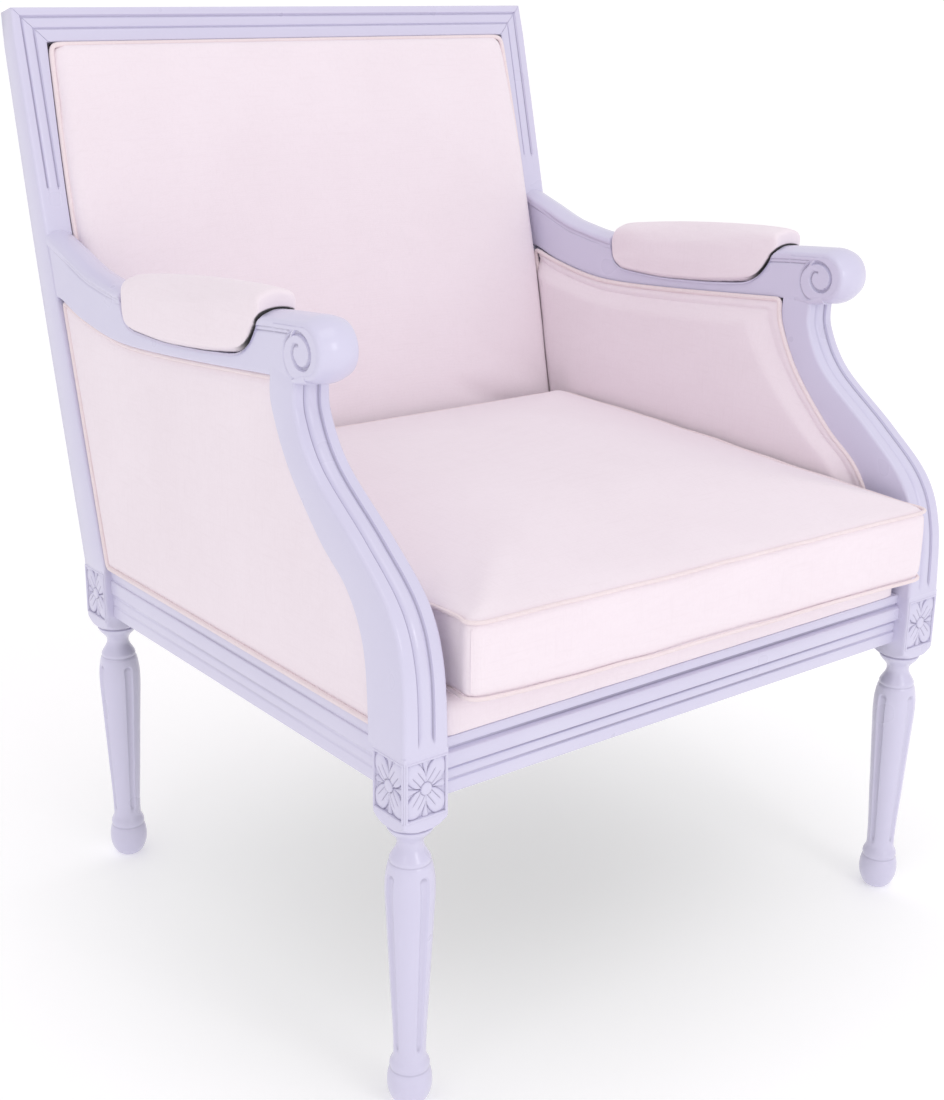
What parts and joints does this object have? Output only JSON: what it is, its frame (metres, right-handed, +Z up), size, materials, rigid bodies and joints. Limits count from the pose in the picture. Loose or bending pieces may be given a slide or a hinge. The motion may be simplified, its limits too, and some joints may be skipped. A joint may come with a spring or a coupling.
{
  "type": "armchair",
  "caption": "Upholstered armchair with a square moulded back, scrolled padded arms, S-shaped arm posts, turned fluted legs and a loose box seat cushion.",
  "frame": {"origin": "on the floor under the middle of the bounding box", "axes": "+Z up, the sitter faces -Y, +X to the sitter's left as they sit, X = 0 is the plane of symmetry"},
  "size_m": [0.686, 0.7402, 0.9128],
  "materials": {
    "painted_wood": "pale lavender-grey satin paint over carved hardwood",
    "bare_wood": "unpainted beech inside the upholstery",
    "linen": "cream linen-look upholstery cloth, plain weave, over padding",
    "linen_piping": "self-covered welt cord in the same cloth",
    "jute_webbing": "woven jute straps",
    "dust_cloth": "thin black dust cloth",
    "foam": "polyurethane foam core",
    "zip_tape": "cream zip tape",
    "screw_steel": "zinc-plated"
  },
  "bodies": {
    "frame": {"arm_left": "painted_wood", "arm_pad_left": "linen", "arm_pad_right": "linen", "arm_post_left": "painted_wood", "arm_post_right": "painted_wood", "arm_right": "painted_wood", "back_lower_rail": "bare_wood", "back_post_left": "painted_wood", "back_post_right": "painted_wood", "back_webbing": "jute_webbing", "corner_block_front_left": "bare_wood", "corner_block_front_right": "bare_wood", "corner_block_rear_left": "bare_wood", "corner_block_rear_right": "bare_wood", "corner_screws": "screw_steel", "crest_rail": "painted_wood", "dust_cover": "dust_cloth", "frame_dowels": "bare_wood", "front_leg_left": "painted_wood", "front_leg_right": "painted_wood", "front_seat_rail": "painted_wood", "inner_side_pad_left": "linen", "inner_side_pad_right": "linen", "inner_side_piping_left": "linen_piping", "inner_side_piping_right": "linen_piping", "inside_back_pad": "linen", "inside_back_piping": "linen_piping", "outer_side_panel_left": "linen", "outer_side_panel_right": "linen", "outer_side_piping_left": "linen_piping", "outer_side_piping_right": "linen_piping", "outside_back_panel": "linen", "outside_back_piping": "linen_piping", "rear_seat_rail": "painted_wood", "seat_deck": "linen", "seat_webbing": "jute_webbing", "side_seat_rail_left": "painted_wood", "side_seat_rail_right": "painted_wood", "tacking_rail_left": "bare_wood", "tacking_rail_right": "bare_wood"},
    "cushion": {"cushion_cover": "linen", "cushion_foam": "foam", "cushion_piping_bottom": "linen_piping", "cushion_piping_top": "linen_piping", "cushion_zip": "zip_tape"}
  },
  "joints": [
    {"name": "cushion_lift", "type": "slide", "parent": "frame", "child": "cushion", "axis": [0, 0, 1], "range_m": [0, 0.35]}
  ]
}
